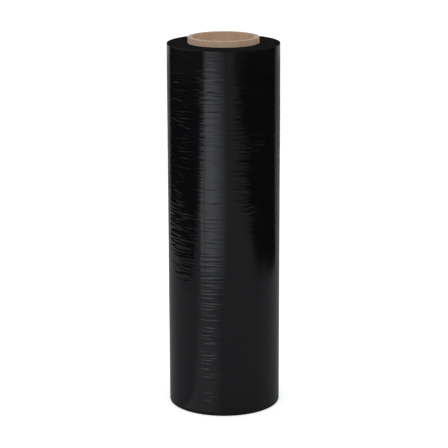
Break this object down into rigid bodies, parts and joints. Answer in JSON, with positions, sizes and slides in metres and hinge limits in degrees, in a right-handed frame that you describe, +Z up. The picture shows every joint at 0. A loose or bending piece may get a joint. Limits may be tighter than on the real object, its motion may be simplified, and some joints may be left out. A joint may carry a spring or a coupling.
{
  "type": "stretch wrap roll",
  "caption": "Upright roll of black stretch film wound on a brown paperboard core, which stands out above the winding; for wrapping pallets and parcels by hand.",
  "frame": {"origin": "centre of the foot, where the roll's axis meets the surface that it stands on", "axes": "+Z up along the roll's axis, towards the end where the core stands out; +Y away from the viewer of the front, +X to that viewer's right"},
  "size_m": [0.1386, 0.1386, 0.4645],
  "materials": {
    "paperboard": "uncoated brown kraft paperboard, matt, with plies showing at the cut ends",
    "film": "glossy black polyethylene film, wound tight, with fine creases round the roll and matt cut ends"
  },
  "bodies": {
    "root": {"core_tube": "paperboard", "film_roll": "film"}
  },
  "joints": []
}
